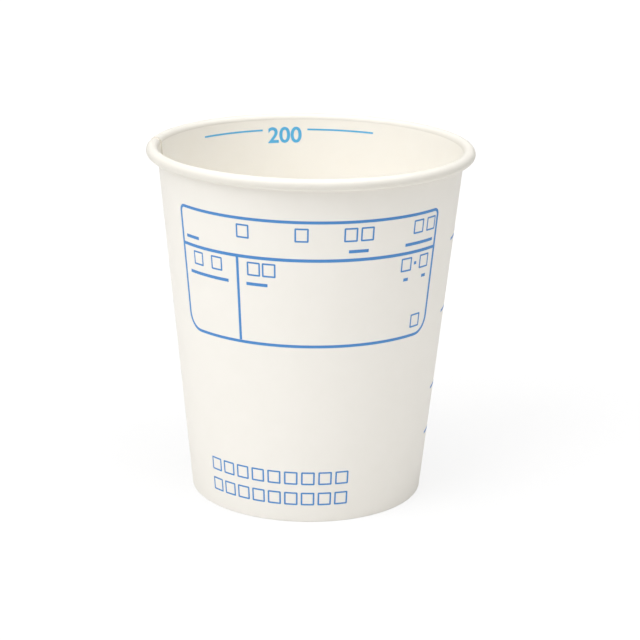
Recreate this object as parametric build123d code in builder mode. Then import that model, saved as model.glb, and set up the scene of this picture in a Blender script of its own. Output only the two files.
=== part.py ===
from build123d import *

import os
from math import acos, asin, atan2, cos, degrees, hypot, radians, sin, tan

# Graduated paper specimen cup, in millimetres. The origin is the centre of the ring that the cup
# stands on, +Z is up and the printed form faces -Y. Azimuths are in degrees, 0 at the front (-Y)
# and growing towards +X. Depths are measured square to the wall, from its printed face inwards.

# Cup body
cup_height = 79.5
mouth_diameter = 73.0
base_diameter = 52.5
board = 0.3
curl_diameter = 2.7
curl_tuck = 0.2
curl_gap = 0.07
curl_facets = (6, 4)
roll_facets = (3, 2)

# Base disc and the fold that holds it
floor_height = 5.0
disc_board = 0.3
disc_bend = 0.2
seal_clearance = 0.02
fold_bend = 0.2
hem_clearance = 0.15
skirt_clearance = 0.15

# Lap seam, where the sheet's last stretch lies on its first
lap_azimuth = -98.0
lap_ramp = 4.0
lap_turn = 12.0
lap_foot = 1.5
lap_cover = 0.5

# Thickness of the printed ink, and how far the stencils that shape it reach from the wall's face
ink = 0.05
stencil = 0.5

# Frame of the form: its drop below the rim, its rows down from its top line, and its columns
form_drop = 9.8
form_head = 8.4
form_depth = 27.8
form_left = -56.5
form_right = 55.8
form_column = -28.1
form_line = 0.6
form_rule = 0.5
form_top_corner = 1.3
form_bottom_corner = 3.7

# Check boxes and caption bars in the form: rows down from the line above them, places round the wall
box_width = 3.0
box_height = 3.1
box_line = 0.4
head_box_drop = 2.8
head_box_azimuths = (-25.4, -2.9, 15.3, 21.7, 44.8, 51.9)
head_bar_drop = 6.5
head_bars = ((-50.1, 4.2), (18.6, 4.4), (46.2, 8.6))
body_box_drop = 2.6
body_box_azimuths = (-47.5, -37.8, -21.4, -15.3, 40.2, 49.9)
body_bar_drop = 6.0
body_bars = ((-42.7, 11.4), (-20.2, 4.8), (40.5, 1.3), (50.6, 1.3))
last_box_rise = 3.3
last_box_azimuth = 48.4
bar_height = 0.7
dot_size = 0.7
dot_azimuth = 44.8

# Two rows of check boxes near the base
note_rise = 5.7
note_row_rise = 4.95
note_start = -46.5
note_pitch = 7.9
note_count = 9

# Graduations: ticks on the printed side, and lines on both sides of the numerals inside
line_heights = (14.7, 25.6, 43.8, 60.5)
top_line_drop = 3.6
tick_line = 0.6
tick_azimuth = 74.0
tick_length = 5.0
scale_line = 0.4
scale_azimuth = -169.2
scale_gap = 10.9
scale_length = 16.2

# Worked out from the values above
curl_radius = curl_diameter / 2
curl_across = mouth_diameter / 2 - curl_radius
curl_up = cup_height - curl_radius
curl_reach = hypot(curl_across - base_diameter / 2, curl_up)
lean = atan2(curl_across - base_diameter / 2, curl_up) - asin((curl_radius - board) / curl_reach)
curl_end = degrees(
    acos((curl_radius + curl_tuck - curl_gap - 2 * board) / (curl_radius - curl_tuck))
)
hem_depth = 2 * board + disc_board + 2 * seal_clearance
form_top = cup_height - form_drop
form_divider = form_top - form_head
form_bottom = form_top - form_depth
form_middle = (form_top + form_bottom) / 2


def on_wall(height, depth):
    """Section point at a height, and at a depth under the wall's printed face."""
    return (base_diameter / 2 + height * tan(lean) - depth / cos(lean), height)


def section_plane(azimuth):
    """Plane that holds the cup's axis and opens outwards at an azimuth."""
    turn = radians(azimuth)
    return Plane(origin=(0, 0, 0), x_dir=(sin(turn), -cos(turn), 0), z_dir=(-cos(turn), -sin(turn), 0))


def arc(width, height):
    """Degrees that a width takes round the wall at a height."""
    return degrees(width / on_wall(height, 0)[0])


def foot_section():
    """Section of the sheet from the hem's edge, round the base fold and a little way up the wall."""
    hem_top = floor_height - disc_board - disc_bend - hem_clearance
    with BuildSketch(section_plane(0)) as section:
        with BuildLine():
            Polyline(
                on_wall(lap_foot + lap_cover, 0),
                on_wall(fold_bend, 0),
                on_wall(0, fold_bend),
                on_wall(0, hem_depth - fold_bend),
                on_wall(fold_bend, hem_depth),
                on_wall(hem_top, hem_depth),
                on_wall(hem_top, hem_depth - board),
                on_wall(board, hem_depth - board),
                on_wall(board, board),
                on_wall(lap_foot + lap_cover, board),
                close=True,
            )
        make_face()
    return section.sketch


def curl_points(radius, facets):
    """Points in even steps round the rim curl at a radius, and then round the tail tucked inside it."""
    turn = JernArc(
        start=(curl_across - radius * cos(lean), curl_up + radius * sin(lean)),
        tangent=(sin(lean), cos(lean)),
        radius=radius,
        arc_size=degrees(lean) - 180,
        mode=Mode.PRIVATE,
    )
    tail = JernArc(
        start=turn @ 1,
        tangent=turn % 1,
        radius=radius - curl_tuck,
        arc_size=curl_end - 180 - degrees(lean),
        mode=Mode.PRIVATE,
    )
    turn_points = [turn @ (step / facets[0]) for step in range(facets[0])]
    return turn_points + [tail @ (step / facets[1]) for step in range(facets[1] + 1)]


def wall_section(azimuth, lift):
    """Section of the sheet's wall and rim curl, lifted off the wall's own line by a thickness."""
    with BuildSketch(section_plane(azimuth)) as section:
        with BuildLine():
            lined = Polyline(*curl_points(curl_radius - lift, curl_facets))
            printed = Polyline(*curl_points(curl_radius - lift - board, roll_facets))
            Line(on_wall(lap_foot, board - lift), lined @ 0)
            Line(on_wall(lap_foot, -lift), printed @ 0)
            Line(on_wall(lap_foot, board - lift), on_wall(lap_foot, -lift))
            Line(lined @ 1, printed @ 1)
        make_face()
    return section.sketch


def patch(heights, azimuths, depths, mode=Mode.ADD):
    """Patch that follows the wall between two heights, two azimuths and two depths."""
    low, high = heights
    start, end = azimuths
    under, over = depths
    with BuildSketch(section_plane(start)) as section:
        with BuildLine():
            Polyline(
                on_wall(low, under),
                on_wall(high, under),
                on_wall(high, over),
                on_wall(low, over),
                close=True,
            )
        make_face()
    revolve(section.sketch, axis=Axis.Z, revolution_arc=end - start, mode=mode)


def bar(height, azimuth, width, tall):
    """Bar of ink on the printed face, centred on a height and an azimuth."""
    half = arc(width, height) / 2
    patch((height - tall / 2, height + tall / 2), (azimuth - half, azimuth + half), (0, -ink))


def boxes(height, azimuths):
    """Open check boxes of ink on the printed face, in a row at one height."""
    side = arc(box_width - 2 * box_line, height) / 2
    inside = box_height / 2 - box_line
    with BuildPart(mode=Mode.PRIVATE) as box:
        bar(height, 0, box_width, box_height)
        patch(
            (height - inside, height + inside),
            (-side, side),
            (stencil, -stencil),
            mode=Mode.SUBTRACT,
        )
    with Locations(*[Location((0, 0, 0), (0, 0, azimuth)) for azimuth in azimuths]):
        add(box.part)


def corner_edges(part):
    """The short edges that run square through a stencil at its corners, lowest first."""
    return part.edges().filter_by(lambda edge: edge.length < 3 * stencil).group_by(Axis.Z)


# One sheet of lined board: wall, rim curl, lap seam and the hem turned up under the base
with BuildPart() as sidewall:
    revolve(foot_section(), axis=Axis.Z)
    revolve(wall_section(lap_azimuth, 0), axis=Axis.Z, revolution_arc=lap_ramp - 360)
    ramp_start = wall_section(lap_azimuth + lap_ramp, 0)
    ramp_end = wall_section(lap_azimuth, board)
    loft([ramp_start.face(), ramp_end.face()], ruled=True)
    revolve(wall_section(lap_azimuth, board), axis=Axis.Z, revolution_arc=-lap_turn)
sidewall.part.label = "sidewall"

# Disc of board with its edge turned down into the base fold
with BuildPart() as base_disc:
    skirt_end = board + skirt_clearance
    skirt_face = board + seal_clearance
    with BuildSketch(section_plane(0)) as disc_section:
        with BuildLine():
            Polyline(
                (0, floor_height),
                on_wall(floor_height, skirt_face + disc_bend),
                on_wall(floor_height - disc_bend, skirt_face),
                on_wall(skirt_end, skirt_face),
                on_wall(skirt_end, skirt_face + disc_board),
                on_wall(floor_height - disc_board, skirt_face + disc_board),
                (0, floor_height - disc_board),
                close=True,
            )
        make_face()
    revolve(disc_section.sketch, axis=Axis.Z)
base_disc.part.label = "base_disc"

# Stencil of the form's bare cells, with round corners where the frame has them
rule = arc(form_rule, form_middle) / 2
with BuildPart() as form_cells:
    patch(
        (form_divider + form_line / 2, form_top - form_line / 2),
        (form_left + rule, form_right - rule),
        (stencil, -stencil),
    )
    patch(
        (form_bottom + form_line / 2, form_divider - form_line / 2),
        (form_left + rule, form_column - rule),
        (stencil, -stencil),
    )
    patch(
        (form_bottom + form_line / 2, form_divider - form_line / 2),
        (form_column + rule, form_right - rule),
        (stencil, -stencil),
    )
    fillet(corner_edges(form_cells)[-1], radius=form_top_corner - form_line / 2)
    low_corners = corner_edges(form_cells)[0].sort_by(Axis.X)
    fillet([low_corners[0], low_corners[-1]], radius=form_bottom_corner - form_line / 2)

# Print on the outside, as a film of ink: the form, the rows near the base and the ticks of the scale
with BuildPart() as outer_print:
    # Frame with its head row and left column ruled off: a stencil with round corners, cut down to the ink
    frame_heights = (form_bottom - form_line / 2, form_top + form_line / 2)
    frame_azimuths = (form_left - rule, form_right + rule)
    patch(frame_heights, frame_azimuths, (stencil, -stencil))
    fillet(corner_edges(outer_print)[-1], radius=form_top_corner + form_line / 2)
    fillet(corner_edges(outer_print)[0], radius=form_bottom_corner + form_line / 2)
    add(form_cells.part, mode=Mode.SUBTRACT)
    patch(frame_heights, frame_azimuths, (0, -ink), mode=Mode.INTERSECT)

    # Check boxes and caption bars inside the form
    boxes(form_top - head_box_drop, head_box_azimuths)
    boxes(form_divider - body_box_drop, body_box_azimuths)
    boxes(form_bottom + last_box_rise, (last_box_azimuth,))
    bar(form_divider - body_box_drop, dot_azimuth, dot_size, dot_size)
    for azimuth, width in head_bars:
        bar(form_top - head_bar_drop, azimuth, width, bar_height)
    for azimuth, width in body_bars:
        bar(form_divider - body_bar_drop, azimuth, width, bar_height)

    # Two rows of check boxes near the base
    note_azimuths = [note_start + note_pitch * step for step in range(note_count)]
    boxes(note_rise, note_azimuths)
    boxes(note_rise + note_row_rise, note_azimuths)

    # Ticks of the scale
    for height in line_heights:
        patch(
            (height - tick_line / 2, height + tick_line / 2),
            (tick_azimuth, tick_azimuth + arc(tick_length, height)),
            (0, -ink),
        )
outer_print.part.label = "outer_print"

# Print on the inside: the scale's lines, a pair at each level with room for the numeral between them
with BuildPart() as inner_print:
    for height in (*line_heights, cup_height - top_line_drop):
        near = arc(scale_gap, height) / 2
        far = near + arc(scale_length, height)
        for start, end in ((-far, -near), (near, far)):
            patch(
                (height - scale_line / 2, height + scale_line / 2),
                (scale_azimuth + start, scale_azimuth + end),
                (board + ink, board),
            )
inner_print.part.label = "inner_print"

os.makedirs("parts", exist_ok=True)
for piece in (sidewall, base_disc, outer_print, inner_print):
    export_step(piece.part, f"parts/{piece.part.label}.step")
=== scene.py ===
"""Looks of a graduated paper specimen cup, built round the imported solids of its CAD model."""

import logging
import math
from collections.abc import Iterable, Sequence
from dataclasses import dataclass, field
from enum import Enum

import bmesh
import bpy
from mathutils import Matrix, Vector


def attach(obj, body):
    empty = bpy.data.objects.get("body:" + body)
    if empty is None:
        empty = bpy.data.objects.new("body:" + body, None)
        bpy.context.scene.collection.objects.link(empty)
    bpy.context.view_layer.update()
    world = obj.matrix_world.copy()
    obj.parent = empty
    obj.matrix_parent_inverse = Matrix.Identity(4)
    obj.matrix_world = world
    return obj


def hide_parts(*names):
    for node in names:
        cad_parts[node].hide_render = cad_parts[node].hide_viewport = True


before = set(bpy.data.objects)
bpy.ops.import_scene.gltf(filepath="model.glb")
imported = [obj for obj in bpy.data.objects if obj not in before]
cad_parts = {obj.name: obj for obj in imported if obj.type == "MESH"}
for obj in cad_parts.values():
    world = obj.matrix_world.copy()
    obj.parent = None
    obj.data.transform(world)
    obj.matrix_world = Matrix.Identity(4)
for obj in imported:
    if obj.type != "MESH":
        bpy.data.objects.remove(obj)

log = logging.getLogger("specimen_cup")

MM = 0.001
IMAGE_SIZE = 640
# Size that type is set at, over the height of its digits.
DIGIT_TO_TYPE_SIZE = 1.37

# Heights of the scale's lines, with the millilitres that the cup holds up to each.
SCALE_LEVELS = (
    (14.7 * MM, "25"),
    (25.6 * MM, "50"),
    (43.8 * MM, "100"),
    (60.5 * MM, "150"),
    (75.9 * MM, "200"),
)

Section = list[tuple[float, float]]


class BoardSide(Enum):
    """Sides of the board, each with its own slot on a piece of board."""

    PRINTED = 0
    LINED = 1
    CUT = 2
    # Lined faces on the rim curl, in a finish painted darker as shade.
    RIM_PAINTED_SHADE = 3


class WallSide(Enum):
    """Sides of the wall that ink is printed on."""

    OUTSIDE = 0
    INSIDE = 1


def linear(hex_colour: str) -> tuple[float, float, float, float]:
    """Turns an sRGB colour into the linear one that Blender works in.

    Args:
        hex_colour: The colour as #RRGGBB.

    Returns:
        Red, green, blue and an alpha of 1.
    """
    channels = [int(hex_colour[i : i + 2], 16) / 255 for i in (1, 3, 5)]
    red, green, blue = (
        c / 12.92 if c <= 0.04045 else ((c + 0.055) / 1.055) ** 2.4 for c in channels
    )
    return (red, green, blue, 1.0)


def add_node(
    tree: bpy.types.NodeTree,
    kind: str,
    inputs: dict[str | int, object] | None = None,
    links: dict[str | int, bpy.types.NodeSocket] | None = None,
    **settings: object,
) -> bpy.types.Node:
    """Adds a node with its settings, its sockets' values and the links into it.

    Args:
        tree: The tree that the node goes into.
        kind: The node's Blender type.
        inputs: Values for input sockets, by name or number.
        links: Output sockets to link from, by the input's name or number.
        settings: The node's own properties.

    Returns:
        The new node.
    """
    node = tree.nodes.new(kind)
    for name, value in settings.items():
        setattr(node, name, value)
    for key, value in (inputs or {}).items():
        node.inputs[key].default_value = value
    for key, socket in (links or {}).items():
        tree.links.new(socket, node.inputs[key])
    return node


def new_material(name: str) -> tuple[bpy.types.Material, bpy.types.NodeTree]:
    """Makes an empty node material.

    Args:
        name: The material's name.

    Returns:
        The material and its emptied node tree.
    """
    material = bpy.data.materials.new(name)
    material.use_nodes = True
    material.node_tree.nodes.clear()
    return material, material.node_tree


@dataclass(frozen=True)
class CupForm:
    """Shape of the cup in metres, one or two hundredths of a millimetre inside its solids at the rim.

    The origin is the centre of the ring that the cup stands on. Azimuths are in degrees, 0 at the
    front (-Y) and growing towards +X. Depths are square to the wall, from its printed face inwards.
    """

    cup_height: float = 79.49 * MM
    mouth_radius: float = 36.48 * MM
    base_radius: float = 26.25 * MM
    board: float = 0.3 * MM
    curl_radius: float = 1.35 * MM
    curl_tuck: float = 0.2 * MM
    curl_gap: float = 0.07 * MM
    floor_height: float = 5.0 * MM
    seal: float = 0.02 * MM
    hem_clearance: float = 0.15 * MM
    disc_bend: float = 0.2 * MM
    lap_azimuth: float = -98.0
    lap_ramp: float = 4.0
    lap_turn: float = 12.0
    lap_foot: float = 1.5 * MM

    @property
    def curl_across(self) -> float:
        """Radius of the circle that the rim curl's centre runs on."""
        return self.mouth_radius - self.curl_radius

    @property
    def curl_up(self) -> float:
        """Height of the rim curl's centre."""
        return self.cup_height - self.curl_radius

    @property
    def lean(self) -> float:
        """Angle of the wall from upright, in radians."""
        run = self.curl_across - self.base_radius
        reach = math.hypot(run, self.curl_up)
        return math.atan2(run, self.curl_up) - math.asin((self.curl_radius - self.board) / reach)

    @property
    def curl_end(self) -> float:
        """Degrees short of a half turn at which the curl's tail stops, a gap off the lapped wall."""
        room = self.curl_radius + self.curl_tuck - self.curl_gap - 2 * self.board
        return math.degrees(math.acos(room / (self.curl_radius - self.curl_tuck)))

    @property
    def hem_depth(self) -> float:
        """Depth of the hem's face under the wall's printed face."""
        return 3 * self.board + 2 * self.seal

    @property
    def hem_top(self) -> float:
        """Height of the hem's cut edge."""
        return self.floor_height - self.board - self.disc_bend - self.hem_clearance

    def wall(self, height: float, depth: float = 0.0) -> tuple[float, float]:
        """Finds a point of the wall's section.

        Args:
            height: Height over the table.
            depth: Depth under the printed face.

        Returns:
            The point's radius and height.
        """
        radius = self.base_radius + height * math.tan(self.lean) - depth / math.cos(self.lean)
        return (radius, height)

    def place(self, azimuth: float, radius: float, height: float) -> Vector:
        """Finds a point in space.

        Args:
            azimuth: Azimuth in degrees.
            radius: Distance from the cup's axis.
            height: Height over the table.

        Returns:
            The point.
        """
        turn = math.radians(azimuth)
        return Vector((radius * math.sin(turn), -radius * math.cos(turn), height))


def arc_points(
    centre: tuple[float, float], radius: float, start: float, end: float, steps: int
) -> Section:
    """Divides an arc of a section evenly.

    Args:
        centre: The arc's centre.
        radius: The arc's radius.
        start: Angle of the first point in degrees, 0 outwards and 90 up.
        end: Angle of the last point.
        steps: Number of steps between them.

    Returns:
        The points in order, both ends included.
    """
    angles = [math.radians(start + (end - start) * k / steps) for k in range(steps + 1)]
    return [(centre[0] + radius * math.cos(a), centre[1] + radius * math.sin(a)) for a in angles]


def straight_points(
    start: tuple[float, float], end: tuple[float, float], steps: int
) -> Section:
    """Divides a straight line of a section evenly.

    Args:
        start: The first point.
        end: The last point.
        steps: Number of steps between them.

    Returns:
        The points in order, both ends included.
    """
    return [
        (start[0] + (end[0] - start[0]) * k / steps, start[1] + (end[1] - start[1]) * k / steps)
        for k in range(steps + 1)
    ]


def draw_section(
    bm: bmesh.types.BMesh, form: CupForm, section: Section, azimuth: float, closed: bool = True
) -> list[bmesh.types.BMEdge]:
    """Draws a section as a wire that stands on an azimuth.

    Args:
        bm: The mesh that the wire goes into.
        form: The cup's shape.
        section: Radii and heights along the wire.
        azimuth: The azimuth in degrees.
        closed: Whether the wire's end meets its start.

    Returns:
        The wire's edges.
    """
    corners = [bm.verts.new(form.place(azimuth, radius, height)) for radius, height in section]
    pairs = list(zip(corners, corners[1:]))
    if closed:
        pairs.append((corners[-1], corners[0]))
    return [bm.edges.new(pair) for pair in pairs]


def spin_section(
    bm: bmesh.types.BMesh, edges: Sequence[bmesh.types.BMEdge], turn: float, steps: int
) -> list[bmesh.types.BMEdge]:
    """Spins a wire about the cup's axis into a surface.

    Args:
        bm: The mesh that holds the wire.
        edges: The wire's edges.
        turn: Degrees to turn, growing azimuths as positive. A whole turn is closed on itself.
        steps: Number of steps in the turn.

    Returns:
        The edges at the end of the turn.
    """
    spun = bmesh.ops.spin(
        bm,
        geom=list(edges),
        cent=(0.0, 0.0, 0.0),
        axis=(0.0, 0.0, 1.0),
        dvec=(0.0, 0.0, 0.0),
        angle=math.radians(turn),
        steps=steps,
        use_merge=abs(turn) >= 360.0,
        use_duplicate=False,
    )
    return [item for item in spun["geom_last"] if isinstance(item, bmesh.types.BMEdge)]


def finish_piece(
    name: str,
    bm: bmesh.types.BMesh,
    materials: Iterable[bpy.types.Material],
    sharp: float = 35.0,
) -> bpy.types.Object:
    """Turns a built mesh into an object of the scene, with its faces outwards and smooth.

    Args:
        name: The piece's name.
        bm: The mesh, which is freed.
        materials: The piece's materials, in the order of its slots.
        sharp: Degrees between two faces from which their edge stays crisp.

    Returns:
        The object.
    """
    bmesh.ops.recalc_face_normals(bm, faces=bm.faces)
    for face in bm.faces:
        face.smooth = True
    for edge in bm.edges:
        edge.smooth = edge.is_manifold and edge.calc_face_angle(0.0) < math.radians(sharp)
    mesh = bpy.data.meshes.new(name)
    bm.to_mesh(mesh)
    bm.free()
    for material in materials:
        mesh.materials.append(material)
    piece = bpy.data.objects.new(name, mesh)
    bpy.context.scene.collection.objects.link(piece)
    return piece


def hand_over(piece: bpy.types.Object, node: str) -> bpy.types.Object:
    """Lets a piece ride on the cup and stand for a CAD node.

    Args:
        piece: The finished piece.
        node: The CAD node that it stands for.

    Returns:
        The piece.
    """
    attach(piece, "root")
    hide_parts(node)
    triangles = sum(len(face.vertices) - 2 for face in piece.data.polygons)
    log.info("%s: %d triangles, stands for %s", piece.name, triangles, node)
    return piece


@dataclass(frozen=True)
class CupBoard:
    """Bleached cupstock, a board of wood fibre rolled smooth in the mill and lined with plastic film.

    To the eye it is a warm white with a very soft cloudiness where the fibres lie denser, and a fine
    unevenness that keeps its gloss broad and dull.
    """

    name: str
    colour: str
    cloud_colour: str
    roughness: float
    unevenness: float = 0.05
    cloud_size: float = 5.0 * MM
    fibre_size: float = 0.35 * MM
    fibre_height: float = 0.006 * MM

    def material(self) -> bpy.types.Material:
        """Builds the board's material.

        Returns:
            The material.
        """
        material, tree = new_material(self.name)
        place = add_node(tree, "ShaderNodeTexCoord").outputs["Object"]
        clouds = add_node(
            tree,
            "ShaderNodeTexNoise",
            inputs={"Scale": 1.0 / self.cloud_size, "Detail": 3.0, "Roughness": 0.55},
            links={"Vector": place},
        )
        tone = add_node(
            tree,
            "ShaderNodeMix",
            data_type="RGBA",
            inputs={6: linear(self.colour), 7: linear(self.cloud_colour)},
            links={0: clouds.outputs["Fac"]},
        )
        fibres = add_node(
            tree,
            "ShaderNodeTexNoise",
            inputs={"Scale": 1.0 / self.fibre_size, "Detail": 4.0, "Roughness": 0.6},
            links={"Vector": place},
        )
        dullness = add_node(
            tree,
            "ShaderNodeMapRange",
            inputs={3: self.roughness - self.unevenness, 4: self.roughness + self.unevenness},
            links={0: fibres.outputs["Fac"]},
        )
        relief = add_node(
            tree,
            "ShaderNodeBump",
            inputs={"Strength": 0.5, "Distance": self.fibre_height},
            links={"Height": fibres.outputs["Fac"]},
        )
        shader = add_node(
            tree,
            "ShaderNodeBsdfPrincipled",
            inputs={"IOR": 1.5},
            links={
                "Base Color": tone.outputs[2],
                "Roughness": dullness.outputs[0],
                "Normal": relief.outputs[0],
            },
        )
        add_node(tree, "ShaderNodeOutputMaterial", links={"Surface": shader.outputs[0]})
        return material


@dataclass(frozen=True)
class PrintingInk:
    """Flexographic ink, a thin even film of food-safe blue pressed onto the board by a soft plate.

    To the eye it is a flat cool blue that is a shade lighter where the film lies thinner.
    """

    name: str
    colour: str
    thin_colour: str
    roughness: float = 0.5
    patch_size: float = 1.2 * MM

    def material(self) -> bpy.types.Material:
        """Builds the ink's material.

        Returns:
            The material.
        """
        material, tree = new_material(self.name)
        place = add_node(tree, "ShaderNodeTexCoord").outputs["Object"]
        patches = add_node(
            tree,
            "ShaderNodeTexNoise",
            inputs={"Scale": 1.0 / self.patch_size, "Detail": 3.0, "Roughness": 0.6},
            links={"Vector": place},
        )
        tone = add_node(
            tree,
            "ShaderNodeMix",
            data_type="RGBA",
            inputs={6: linear(self.colour), 7: linear(self.thin_colour)},
            links={0: patches.outputs["Fac"]},
        )
        shader = add_node(
            tree,
            "ShaderNodeBsdfPrincipled",
            inputs={"IOR": 1.48, "Roughness": self.roughness},
            links={"Base Color": tone.outputs[2]},
        )
        add_node(tree, "ShaderNodeOutputMaterial", links={"Surface": shader.outputs[0]})
        return material


@dataclass
class CupSheet:
    """The one sheet of board that makes the wall, the rim curl, the lap seam and the hem."""

    form: CupForm
    finishes: Sequence[bpy.types.Material]
    steps_per_degree: float = 1.0
    wall_rows: int = 4
    turn_steps: int = 16
    tail_steps: int = 12
    ramp_steps: int = 4
    fold_radius: float = 0.33 * MM
    crease_radius: float = 0.04 * MM
    knurls: int = 72
    knurl_height: float = 0.05 * MM
    knurl_start: float = 0.7 * MM
    knurl_margin: float = 0.35 * MM

    def wall_section(self, lift: float) -> Section:
        """Lays out the closed section of the wall and the rim curl.

        Args:
            lift: How far the sheet lies off the wall's own line.

        Returns:
            Radii and heights, up the lined face, round the curl and down the printed face.
        """
        form = self.form
        lean = math.degrees(form.lean)
        centre = (form.curl_across, form.curl_up)
        tail_centre = (form.curl_across + form.curl_tuck, form.curl_up)
        faces: list[Section] = []
        for depth in (form.board - lift, -lift):
            radius = form.curl_radius - form.board + depth
            turn = arc_points(centre, radius, 180.0 - lean, 0.0, self.turn_steps)
            tail = arc_points(
                tail_centre,
                radius - form.curl_tuck,
                0.0,
                form.curl_end - lean - 180.0,
                self.tail_steps,
            )
            wall = straight_points(form.wall(form.lap_foot, depth), turn[0], self.wall_rows)
            faces.append(wall + turn[1:] + tail[1:])
        return faces[0] + faces[1][::-1]

    def foot_section(self) -> Section:
        """Lays out the closed section of the base fold, the hem and the wall's lowest stretch.

        Returns:
            Radii and heights, down the wall, round the fold, up the hem and back inside.
        """
        form = self.form
        lean = math.degrees(form.lean)
        fold = self.fold_radius
        crease = self.crease_radius
        hem_inside = form.hem_depth - form.board
        outer_bend = arc_points(form.wall(fold, fold), fold, -lean, -90.0, 8)
        hem_bend = arc_points(form.wall(fold, form.hem_depth - fold), fold, -90.0, -180.0 - lean, 8)
        hem_face = straight_points(hem_bend[-1], form.wall(form.hem_top, form.hem_depth), 10)
        hem_crease = arc_points(
            form.wall(form.board + crease, hem_inside - crease), crease, 180.0 - lean, 270.0, 4
        )
        wall_crease = arc_points(
            form.wall(form.board + crease, form.board + crease), crease, -90.0, -lean, 4
        )
        return [
            form.wall(form.lap_foot, 0.0),
            *outer_bend,
            *hem_bend,
            *hem_face[1:],
            form.wall(form.hem_top, hem_inside),
            *hem_crease,
            *wall_crease,
            form.wall(form.lap_foot, form.board),
        ]

    def reseat(
        self,
        edges: Iterable[bmesh.types.BMEdge],
        azimuth: float,
        old: Section,
        new: Section,
    ) -> None:
        """Moves the corners of a wire from one section to another.

        Args:
            edges: The wire's edges.
            azimuth: The azimuth that the wire stands on, in degrees.
            old: The section that the corners are on.
            new: The section that they go to, with as many points.
        """
        for corner in {v for edge in edges for v in edge.verts}:
            here = (math.hypot(corner.co.x, corner.co.y), corner.co.z)
            number = min(range(len(old)), key=lambda i: math.dist(old[i], here))
            corner.co = self.form.place(azimuth, *new[number])

    def press_knurls(self, bm: bmesh.types.BMesh) -> None:
        """Presses the upright ribs of the closing wheel into the hem's face.

        Args:
            bm: The mesh that holds the foot.
        """
        form = self.form
        low, high = self.knurl_start, form.hem_top - self.knurl_margin
        for corner in bm.verts:
            if not low < corner.co.z < high:
                continue
            radius = math.hypot(corner.co.x, corner.co.y)
            if radius > form.wall(corner.co.z, form.hem_depth - form.board / 2)[0]:
                continue
            turn = math.atan2(corner.co.x, -corner.co.y)
            press = self.knurl_height * (0.5 + 0.5 * math.cos(self.knurls * turn))
            scale = (radius + press) / radius
            corner.co.x *= scale
            corner.co.y *= scale

    def side_of(self, face: bmesh.types.BMFace) -> BoardSide:
        """Tells which side of the board a face shows, from its place and the way that it looks.

        Args:
            face: The face, with its normal outwards.

        Returns:
            The side.
        """
        form = self.form
        centre = face.calc_center_median()
        radius = math.hypot(centre.x, centre.y)
        outwards = Vector((centre.x / radius, centre.y / radius, 0.0))
        if centre.z > form.curl_up - form.curl_radius:
            from_roll = outwards * (radius - form.curl_across)
            from_roll.z = centre.z - form.curl_up
            # Lined faces on the top and outer part of the curl take the finish painted darker as shade.
            in_rim_shade = radius > form.wall(centre.z)[0] or centre.z > form.curl_up
            if face.normal.dot(from_roll) < 0:
                return BoardSide.PRINTED
            return BoardSide.RIM_PAINTED_SHADE if in_rim_shade else BoardSide.LINED
        if centre.z < form.board / 2:
            return BoardSide.PRINTED
        in_hem = radius < form.wall(centre.z, form.hem_depth / 2)[0]
        looks_out = face.normal.dot(outwards) > 0
        return BoardSide.PRINTED if looks_out != in_hem else BoardSide.LINED

    def build(self) -> bpy.types.Object:
        """Builds the sheet.

        Returns:
            The finished piece.
        """
        form = self.form
        bm = bmesh.new()
        foot = draw_section(bm, form, self.foot_section(), form.lap_azimuth)
        spin_section(bm, foot, 360.0, round(360 * self.steps_per_degree))
        self.press_knurls(bm)

        level = self.wall_section(0.0)
        first = draw_section(bm, form, level, form.lap_azimuth)
        bmesh.ops.contextual_create(bm, geom=first)
        turn = form.lap_ramp - 360.0
        last = spin_section(bm, first, turn, round(-turn * self.steps_per_degree))
        azimuth = form.lap_azimuth + form.lap_ramp
        section = level
        for step in range(1, self.ramp_steps + 1):
            share = step / self.ramp_steps
            last = spin_section(bm, last, -form.lap_ramp / self.ramp_steps, 1)
            azimuth -= form.lap_ramp / self.ramp_steps
            lifted = self.wall_section(form.board * share * share * (3 - 2 * share))
            self.reseat(last, azimuth, section, lifted)
            section = lifted
        last = spin_section(bm, last, -form.lap_turn, round(form.lap_turn * self.steps_per_degree))
        bmesh.ops.contextual_create(bm, geom=last)

        # Only the sheet's two cut ends have more than four corners.
        bmesh.ops.recalc_face_normals(bm, faces=bm.faces)
        for face in bm.faces:
            face.material_index = self.side_of(face).value
            if len(face.verts) > 4:
                face.material_index = BoardSide.CUT.value
        piece = finish_piece("cup_sheet", bm, self.finishes)
        return hand_over(piece, "sidewall")


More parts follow.
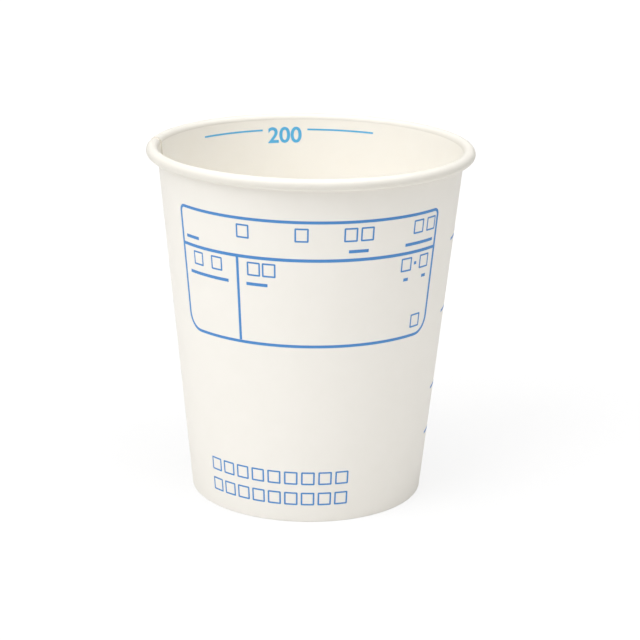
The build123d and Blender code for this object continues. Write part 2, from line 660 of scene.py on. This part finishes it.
@dataclass
class BaseDisc:
    """The disc of board that closes the cup, with its edge turned down into the base fold."""

    form: CupForm
    finishes: Sequence[bpy.types.Material]
    steps: int = 360
    bend_radius: float = 0.33 * MM
    crease_radius: float = 0.04 * MM
    skirt_end: float = 0.45 * MM

    def section(self) -> Section:
        """Lays out the open section, from the axis over the top, round the skirt and back.

        Returns:
            Radii and heights, with both ends on the cup's axis.
        """
        form = self.form
        lean = math.degrees(form.lean)
        skirt = form.board + form.seal
        inside = skirt + form.board
        top = form.floor_height
        under = top - form.board
        bend = self.bend_radius
        crease = self.crease_radius
        bend_centre = form.wall(top - bend, skirt + bend)
        crease_centre = form.wall(under - crease, inside + crease)
        return [
            (0.0, top),
            (bend_centre[0] / 2, top),
            *arc_points(bend_centre, bend, 90.0, -lean, 8),
            form.wall(self.skirt_end, skirt),
            form.wall(self.skirt_end, inside),
            *arc_points(crease_centre, crease, -lean, 90.0, 4),
            (crease_centre[0] / 2, under),
            (0.0, under),
        ]

    def build(self) -> bpy.types.Object:
        """Builds the disc.

        Returns:
            The finished piece.
        """
        form = self.form
        bm = bmesh.new()
        wire = draw_section(bm, form, self.section(), 0.0, closed=False)
        spin_section(bm, wire, 360.0, self.steps)
        bmesh.ops.remove_doubles(bm, verts=bm.verts, dist=0.001 * MM)
        for face in bm.faces:
            centre = face.calc_center_median()
            radius = math.hypot(centre.x, centre.y)
            skin = form.wall(centre.z, 1.5 * form.board + form.seal)[0]
            lined = centre.z > form.floor_height - form.board / 2 or radius > skin
            face.material_index = (BoardSide.LINED if lined else BoardSide.PRINTED).value
        piece = finish_piece("base_disc_board", bm, self.finishes)
        return hand_over(piece, "base_disc")


@dataclass
class InkFilm:
    """A film of ink that is drawn flat, azimuth by height, and then wrapped onto the cup's wall."""

    form: CupForm
    side: WallSide = WallSide.OUTSIDE
    plan_radius: float = 30.0 * MM
    rise: float = 0.02 * MM
    root: float = 0.01 * MM
    strip: float = 1.5
    bm: bmesh.types.BMesh = field(default_factory=bmesh.new)

    def local(self, azimuth: float, height: float) -> Matrix:
        """Makes the placement that puts a shape drawn in true size on the flat plan.

        Args:
            azimuth: Azimuth of the shape's middle, in degrees.
            height: Height of the shape's middle.

        Returns:
            The placement, which evens out the wall's change of radius.
        """
        stretch = self.plan_radius / self.form.wall(height)[0]
        if self.side is WallSide.INSIDE:
            stretch = -stretch
        return Matrix.Translation((math.radians(azimuth) * self.plan_radius, height, 0.0)) @ (
            Matrix.Diagonal((stretch, 1.0, 1.0, 1.0))
        )

    def bar(self, azimuth: float, height: float, width: float, tall: float) -> None:
        """Draws a solid bar, centred on an azimuth and a height."""
        flat = self.local(azimuth, height) @ Matrix.Diagonal((width, tall, 1.0, 1.0))
        bmesh.ops.create_grid(self.bm, x_segments=1, y_segments=1, size=0.5, matrix=flat)

    def outline(
        self,
        azimuth: float,
        height: float,
        width: float,
        tall: float,
        line: float,
        corners: tuple[float, float] = (0.0, 0.0),
    ) -> None:
        """Draws the outline of a rectangle, centred on an azimuth and a height.

        Args:
            azimuth: Azimuth of the middle, in degrees.
            height: Height of the middle.
            width: Outer width in true size.
            tall: Outer height.
            line: Width of the line.
            corners: Outer radii of the upper and the lower corners.
        """
        size = Matrix.Diagonal((width, tall, 1.0, 1.0))
        made = bmesh.ops.create_grid(self.bm, x_segments=1, y_segments=1, size=0.5, matrix=size)
        points = set(made["verts"])
        for upper, radius in ((True, corners[0]), (False, corners[1])):
            chosen = [v for v in made["verts"] if v.is_valid and (v.co.y > 0) == upper]
            if radius > 0:
                rounded = bmesh.ops.bevel(
                    self.bm,
                    geom=chosen,
                    offset=radius,
                    offset_type="OFFSET",
                    segments=8,
                    profile=0.5,
                    affect="VERTICES",
                    material=-1,
                )
                points |= set(rounded["verts"])
        points = {v for v in points if v.is_valid}
        face = next(f for f in self.bm.faces if all(v in points for v in f.verts))
        ring = bmesh.ops.inset_region(
            self.bm, faces=[face], thickness=line, use_even_offset=True, use_boundary=True
        )
        bmesh.ops.delete(self.bm, geom=[face], context="FACES_ONLY")
        points = {v for f in ring["faces"] for v in f.verts}
        bmesh.ops.transform(self.bm, matrix=self.local(azimuth, height), verts=list(points))

    def numeral(
        self,
        text: str,
        azimuth: float,
        height: float,
        tall: float,
        weight: float = 0.0,
        stretch: float = 1.08,
    ) -> None:
        """Prints a number, centred on an azimuth and a height.

        Args:
            text: The digits.
            azimuth: Azimuth of the middle, in degrees.
            height: Height of the middle.
            tall: Height of a digit.
            weight: How much the strokes grow on each side.
            stretch: How much wider the digits are than the plain typeface's.
        """
        curve = bpy.data.curves.new("digits", "FONT")
        curve.body = text
        curve.size = tall * DIGIT_TO_TYPE_SIZE
        curve.offset = weight
        curve.resolution_u = 6
        writing = bpy.data.objects.new("digits", curve)
        mesh = bpy.data.meshes.new_from_object(writing)
        before = set(self.bm.verts)
        self.bm.from_mesh(mesh)
        digits = [v for v in self.bm.verts if v not in before]
        left, right = min(v.co.x for v in digits), max(v.co.x for v in digits)
        low, high = min(v.co.y for v in digits), max(v.co.y for v in digits)
        size = tall / (high - low)
        centre = Matrix.Translation((-(left + right) / 2, -(low + high) / 2, 0.0))
        flat = self.local(azimuth, height) @ (
            Matrix.Diagonal((size * stretch, size, 1.0, 1.0)) @ centre
        )
        bmesh.ops.transform(self.bm, matrix=flat, verts=digits)
        bmesh.ops.remove_doubles(self.bm, verts=digits, dist=0.001 * MM)
        bpy.data.objects.remove(writing)
        bpy.data.curves.remove(curve)
        bpy.data.meshes.remove(mesh)

    def wrap(self, name: str, ink: bpy.types.Material, node: str) -> bpy.types.Object:
        """Cuts the flat drawing into strips, gives it its thickness and wraps it onto the wall.

        Args:
            name: The piece's name.
            ink: The ink's material.
            node: The CAD node that it stands for.

        Returns:
            The finished piece.
        """
        bm = self.bm
        left = min(v.co.x for v in bm.verts)
        right = max(v.co.x for v in bm.verts)
        width = math.radians(self.strip) * self.plan_radius
        for number in range(math.ceil(left / width), math.floor(right / width) + 1):
            bmesh.ops.bisect_plane(
                bm,
                geom=bm.verts[:] + bm.edges[:] + bm.faces[:],
                dist=0.0001 * MM,
                plane_co=(number * width, 0.0, 0.0),
                plane_no=(1.0, 0.0, 0.0),
            )
        thick = bmesh.ops.extrude_face_region(bm, geom=bm.faces[:], use_keep_orig=True)
        tops = {item for item in thick["geom"] if isinstance(item, bmesh.types.BMVert)}
        face_depth = self.form.board if self.side is WallSide.INSIDE else 0.0
        outwards = -1.0 if self.side is WallSide.INSIDE else 1.0
        for corner in bm.verts:
            proud = self.rise if corner in tops else -self.root
            azimuth = math.degrees(corner.co.x / self.plan_radius)
            radius, height = self.form.wall(corner.co.y, face_depth - outwards * proud)
            corner.co = self.form.place(azimuth, radius, height)
        # The faces still hold the flat drawing's normals, by which finish_piece could turn a thin film
        # inside out.
        bm.normal_update()
        return hand_over(finish_piece(name, bm, [ink]), node)


@dataclass(frozen=True)
class OpenBox:
    """An open box with slightly rounded corners, in the place of one printed character."""

    width: float = 3.0 * MM
    tall: float = 3.1 * MM
    line: float = 0.36 * MM
    corner: float = 0.25 * MM

    def draw(self, film: InkFilm, azimuth: float, height: float) -> None:
        """Draws the box on a film, centred on an azimuth and a height."""
        corners = (self.corner, self.corner)
        film.outline(azimuth, height, self.width, self.tall, self.line, corners)


@dataclass
class PatientForm:
    """The blank form on the front, with open boxes and bars in the places of its field names."""

    form: CupForm
    ink: bpy.types.Material
    top: float = 69.7 * MM
    divider: float = 61.3 * MM
    bottom: float = 41.9 * MM
    left: float = -56.5
    right: float = 55.8
    column: float = -28.1
    line: float = 0.7 * MM
    rule: float = 0.6 * MM
    corners: tuple[float, float] = (1.6 * MM, 4.0 * MM)
    box: OpenBox = OpenBox()
    head_box_drop: float = 2.8 * MM
    body_box_drop: float = 2.6 * MM
    foot_box_rise: float = 3.3 * MM
    head_bar_drop: float = 6.5 * MM
    body_bar_drop: float = 6.0 * MM
    bar_height: float = 0.7 * MM
    head_boxes: tuple[float, ...] = (-25.4, -2.9, 15.3, 21.7, 44.8, 51.9)
    head_bars: tuple[tuple[float, float], ...] = ((-50.1, 4.2), (18.6, 4.4), (46.2, 8.6))
    body_boxes: tuple[float, ...] = (-47.5, -37.8, -21.4, -15.3, 40.2, 49.9)
    foot_box: float = 48.4
    dot: float = 44.8
    body_bars: tuple[tuple[float, float], ...] = (
        (-42.7, 11.4),
        (-20.2, 4.8),
        (40.5, 1.3),
        (50.6, 1.3),
    )

    def draw_frame(self, film: InkFilm) -> None:
        """Draws the rounded frame and its two rulings.

        Args:
            film: The film that they go on.
        """
        middle = (self.top + self.bottom) / 2
        radius = self.form.wall(middle)[0]
        turn = math.radians(self.right - self.left)
        film.outline(
            (self.left + self.right) / 2,
            middle,
            turn * radius + self.rule,
            self.top - self.bottom + self.line,
            (self.line + self.rule) / 2,
            self.corners,
        )
        inner = turn - self.rule / radius
        head = self.form.wall(self.divider)[0]
        film.bar((self.left + self.right) / 2, self.divider, inner * head, self.line)
        low = self.bottom + self.line / 2
        high = self.divider - self.line / 2
        film.bar(self.column, (low + high) / 2, self.rule, high - low)

    def draw_marks(self, film: InkFilm) -> None:
        """Draws the open boxes and the bars inside the frame.

        Args:
            film: The film that they go on.
        """
        body = self.divider - self.body_box_drop
        rows = (
            (self.top - self.head_box_drop, self.head_boxes),
            (body, self.body_boxes),
            (self.bottom + self.foot_box_rise, (self.foot_box,)),
        )
        for height, azimuths in rows:
            for azimuth in azimuths:
                self.box.draw(film, azimuth, height)
        for azimuth, length in self.head_bars:
            film.bar(azimuth, self.top - self.head_bar_drop, length * MM, self.bar_height)
        for azimuth, length in self.body_bars:
            film.bar(azimuth, self.divider - self.body_bar_drop, length * MM, self.bar_height)
        film.bar(self.dot, body, self.bar_height, self.bar_height)

    def build(self) -> bpy.types.Object:
        """Prints the form.

        Returns:
            The finished piece.
        """
        film = InkFilm(self.form)
        self.draw_frame(film)
        self.draw_marks(film)
        return film.wrap("form_ink", self.ink, "outer_print")


@dataclass
class NoteRows:
    """Two rows of open boxes near the base, in the place of two lines of small print."""

    form: CupForm
    ink: bpy.types.Material
    heights: tuple[float, float] = (5.7 * MM, 10.65 * MM)
    start: float = -46.5
    pitch: float = 7.9
    count: int = 9
    box: OpenBox = OpenBox()

    def build(self) -> bpy.types.Object:
        """Prints the rows.

        Returns:
            The finished piece.
        """
        film = InkFilm(self.form)
        for height in self.heights:
            for number in range(self.count):
                self.box.draw(film, self.start + self.pitch * number, height)
        return film.wrap("note_ink", self.ink, "outer_print")


@dataclass
class OuterScale:
    """Ticks of the scale on the outside, each with its numeral to the right."""

    form: CupForm
    ink: bpy.types.Material
    levels: tuple[tuple[float, str], ...] = SCALE_LEVELS[:-1]
    start: float = 74.0
    length: float = 5.0 * MM
    line: float = 0.6 * MM
    numeral_height: float = 2.8 * MM
    numeral_offset: float = 9.4 * MM
    numeral_weight: float = 0.04 * MM

    def build(self) -> bpy.types.Object:
        """Prints the scale.

        Returns:
            The finished piece.
        """
        film = InkFilm(self.form)
        for height, text in self.levels:
            degrees = math.degrees(1.0 / self.form.wall(height)[0])
            film.bar(self.start + self.length / 2 * degrees, height, self.length, self.line)
            film.numeral(
                text,
                self.start + self.numeral_offset * degrees,
                height,
                self.numeral_height,
                self.numeral_weight,
            )
        return film.wrap("outer_scale_ink", self.ink, "outer_print")


@dataclass
class InnerScale:
    """Lines of the scale inside, a pair at each level with the numeral between them."""

    form: CupForm
    ink: bpy.types.Material
    levels: tuple[tuple[float, str], ...] = SCALE_LEVELS
    middle: float = -169.2
    gap: float = 10.9 * MM
    length: float = 16.2 * MM
    line: float = 0.4 * MM
    numeral_height: float = 3.8 * MM
    numeral_drop: float = 1.25 * MM
    numeral_weight: float = 0.11 * MM

    def build(self) -> list[bpy.types.Object]:
        """Prints the lines and the numerals.

        Returns:
            The finished pieces.
        """
        lines = InkFilm(self.form, WallSide.INSIDE)
        digits = InkFilm(self.form, WallSide.INSIDE)
        for height, text in self.levels:
            degrees = math.degrees(1.0 / self.form.wall(height)[0])
            reach = (self.gap + self.length) / 2 * degrees
            for azimuth in (self.middle - reach, self.middle + reach):
                lines.bar(azimuth, height, self.length, self.line)
            digits.numeral(
                text,
                self.middle,
                height - self.numeral_drop,
                self.numeral_height,
                self.numeral_weight,
            )
        return [
            lines.wrap("inner_scale_lines", self.ink, "inner_print"),
            digits.wrap("inner_scale_numerals", self.ink, "inner_print"),
        ]


@dataclass(frozen=True)
class SoftLight:
    """A large square soft light that hangs off the cup's middle and faces it."""

    name: str
    power: float
    azimuth: float
    elevation: float
    distance: float = 1.2
    size: float = 0.9

    def hang(self, target: Vector) -> None:
        """Hangs the light.

        Args:
            target: The point that it faces.
        """
        lamp = bpy.data.lights.new(self.name, "AREA")
        lamp.shape = "SQUARE"
        lamp.size = self.size
        lamp.energy = self.power
        light = bpy.data.objects.new(self.name, lamp)
        turn = math.radians(self.azimuth)
        rise = math.radians(self.elevation)
        away = Vector(
            (math.sin(turn) * math.cos(rise), -math.cos(turn) * math.cos(rise), math.sin(rise))
        )
        light.location = target + away * self.distance
        light.rotation_euler = away.to_track_quat("Z", "Y").to_euler()
        bpy.context.scene.collection.objects.link(light)


@dataclass
class Studio:
    """The white table and backdrop, the soft light and the camera."""

    target: tuple[float, float, float] = (0.0, 0.0, 40.0 * MM)
    target_pixel: tuple[float, float] = (308.4, 314.3)
    distance: float = 459.4 * MM
    elevation: float = 16.68
    roll: float = 0.86
    lens: float = 113.69
    sensor: float = 36.0
    ambient: float = 0.19
    lights: tuple[SoftLight, ...] = (
        SoftLight("soft_key", 7.7, -50.0, 42.0),
        SoftLight("soft_top", 7.7, 0.0, 88.0, distance=0.9),
        SoftLight("soft_fill", 2.8, 60.0, 45.0),
    )
    table_half: float = 3.0
    glow_near: tuple[float, float] = (0.1, 0.75)
    glow_far: tuple[float, float] = (0.8, 0.95)

    def camera_rays(self, tree: bpy.types.NodeTree) -> bpy.types.NodeSocket:
        """Picks out the rays in which the backdrop itself is seen.

        Args:
            tree: The tree that the node goes into.

        Returns:
            A socket that is 1 for the camera's own rays and 0 for the others.
        """
        return add_node(tree, "ShaderNodeLightPath").outputs["Is Camera Ray"]

    def build_world(self) -> None:
        """Makes the white backdrop and the even light that it gives."""
        world = bpy.data.worlds.new("white_backdrop")
        world.use_nodes = True
        tree = world.node_tree
        tree.nodes.clear()
        light = add_node(
            tree,
            "ShaderNodeBackground",
            inputs={"Color": linear("#FFFFFF"), "Strength": self.ambient},
        )
        white = add_node(
            tree, "ShaderNodeBackground", inputs={"Color": linear("#FFFFFF"), "Strength": 1.0}
        )
        both = add_node(
            tree,
            "ShaderNodeMixShader",
            links={0: self.camera_rays(tree), 1: light.outputs[0], 2: white.outputs[0]},
        )
        add_node(tree, "ShaderNodeOutputWorld", links={"Surface": both.outputs[0]})
        bpy.context.scene.world = world

    def floor_material(self) -> bpy.types.Material:
        """Builds the table's finish: matt white, seen as white, with the cup's soft shadow on it.

        A glow that only the camera sees makes the table white. It grows with the distance from the cup,
        where less of the light falls.

        Returns:
            The material.
        """
        material, tree = new_material("matt_white_table")
        table = add_node(tree, "ShaderNodeBsdfDiffuse", inputs={"Color": linear("#EFEEEC")})
        shaded = add_node(tree, "ShaderNodeBsdfDiffuse", inputs={"Color": linear("#828282")})
        place = add_node(tree, "ShaderNodeTexCoord").outputs["Object"]
        away = add_node(tree, "ShaderNodeVectorMath", operation="LENGTH", links={0: place})
        strength = add_node(
            tree,
            "ShaderNodeMapRange",
            inputs={
                1: self.glow_near[0],
                2: self.glow_far[0],
                3: self.glow_near[1],
                4: self.glow_far[1],
            },
            links={0: away.outputs["Value"]},
        )
        glow = add_node(
            tree,
            "ShaderNodeEmission",
            inputs={"Color": linear("#FFFFFF")},
            links={"Strength": strength.outputs[0]},
        )
        seen = add_node(
            tree,
            "ShaderNodeAddShader",
            links={0: shaded.outputs[0], 1: glow.outputs[0]},
        )
        both = add_node(
            tree,
            "ShaderNodeMixShader",
            links={0: self.camera_rays(tree), 1: table.outputs[0], 2: seen.outputs[0]},
        )
        add_node(tree, "ShaderNodeOutputMaterial", links={"Surface": both.outputs[0]})
        return material

    def build_floor(self) -> bpy.types.Object:
        """Makes the table top at the height that the cup stands on.

        Returns:
            The table top.
        """
        bm = bmesh.new()
        bmesh.ops.create_grid(bm, x_segments=1, y_segments=1, size=self.table_half)
        floor = finish_piece("table_top", bm, [self.floor_material()])
        return floor

    def build_camera(self) -> None:
        """Sets the camera to the photograph's viewpoint and frame."""
        lens = bpy.data.cameras.new("camera")
        lens.lens = self.lens
        lens.sensor_width = self.sensor
        lens.clip_start = 0.01
        lens.clip_end = 20.0
        lens.shift_x = 0.5 - self.target_pixel[0] / IMAGE_SIZE
        lens.shift_y = self.target_pixel[1] / IMAGE_SIZE - 0.5
        camera = bpy.data.objects.new("camera", lens)
        rise = math.radians(self.elevation)
        away = Vector((0.0, -math.cos(rise), math.sin(rise)))
        turn = away.to_track_quat("Z", "Y").to_matrix().to_4x4()
        camera.matrix_world = (
            Matrix.Translation(Vector(self.target) + away * self.distance)
            @ turn
            @ Matrix.Rotation(math.radians(self.roll), 4, "Z")
        )
        bpy.context.scene.collection.objects.link(camera)
        bpy.context.scene.camera = camera

    def build(self) -> None:
        """Sets up the whole studio."""
        self.build_world()
        self.build_floor()
        for light in self.lights:
            light.hang(Vector(self.target))
        self.build_camera()
        bpy.context.scene.view_settings.view_transform = "Standard"
        log.info("studio: camera %.0f mm away, lens %.1f mm", self.distance / MM, self.lens)


def main() -> None:
    """Builds the cup, its print and the studio."""
    logging.basicConfig(level=logging.INFO, format="%(name)s: %(message)s")
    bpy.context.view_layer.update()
    form = CupForm()
    board_sides = [
        # The printed side, calendered and unlined: a warm white with a dull, broad gloss.
        CupBoard("cupstock_outside", "#F6F3ED", "#F3F0E9", 0.55).material(),
        # The lined side, with film melted on: a shade whiter and a little glossier.
        CupBoard("cupstock_lined", "#FAF7F0", "#F8F4EB", 0.45).material(),
        # The knife's edge, bare fibre with no film: matt, darker and finely speckled.
        CupBoard("cupstock_cut_edge", "#F3EFE6", "#EAE5DA", 0.8, fibre_size=0.12 * MM).material(),
        # The lined side round the rim, a little duller, and painted darker than the rest of the lined
        # side as shade on the curl, where the light from above falls strongest.
        CupBoard("cupstock_rim_painted_shade", "#E9E6DE", "#E6E2D9", 0.5).material(),
    ]
    # Blue of the form, pressed onto the unlined side by a soft plate: flat, deep and even.
    outer_ink = PrintingInk("flexo_ink_outside", "#4086CB", "#488ED0").material()
    # Blue of the scale inside, printed thinner on the lined side: lighter and towards cyan.
    inner_ink = PrintingInk("flexo_ink_inside", "#55B4E8", "#5DBAEA").material()
    CupSheet(form, board_sides).build()
    BaseDisc(form, board_sides).build()
    PatientForm(form, outer_ink).build()
    NoteRows(form, outer_ink).build()
    OuterScale(form, outer_ink).build()
    InnerScale(form, inner_ink).build()
    Studio().build()


if __name__ == "__main__":
    main()
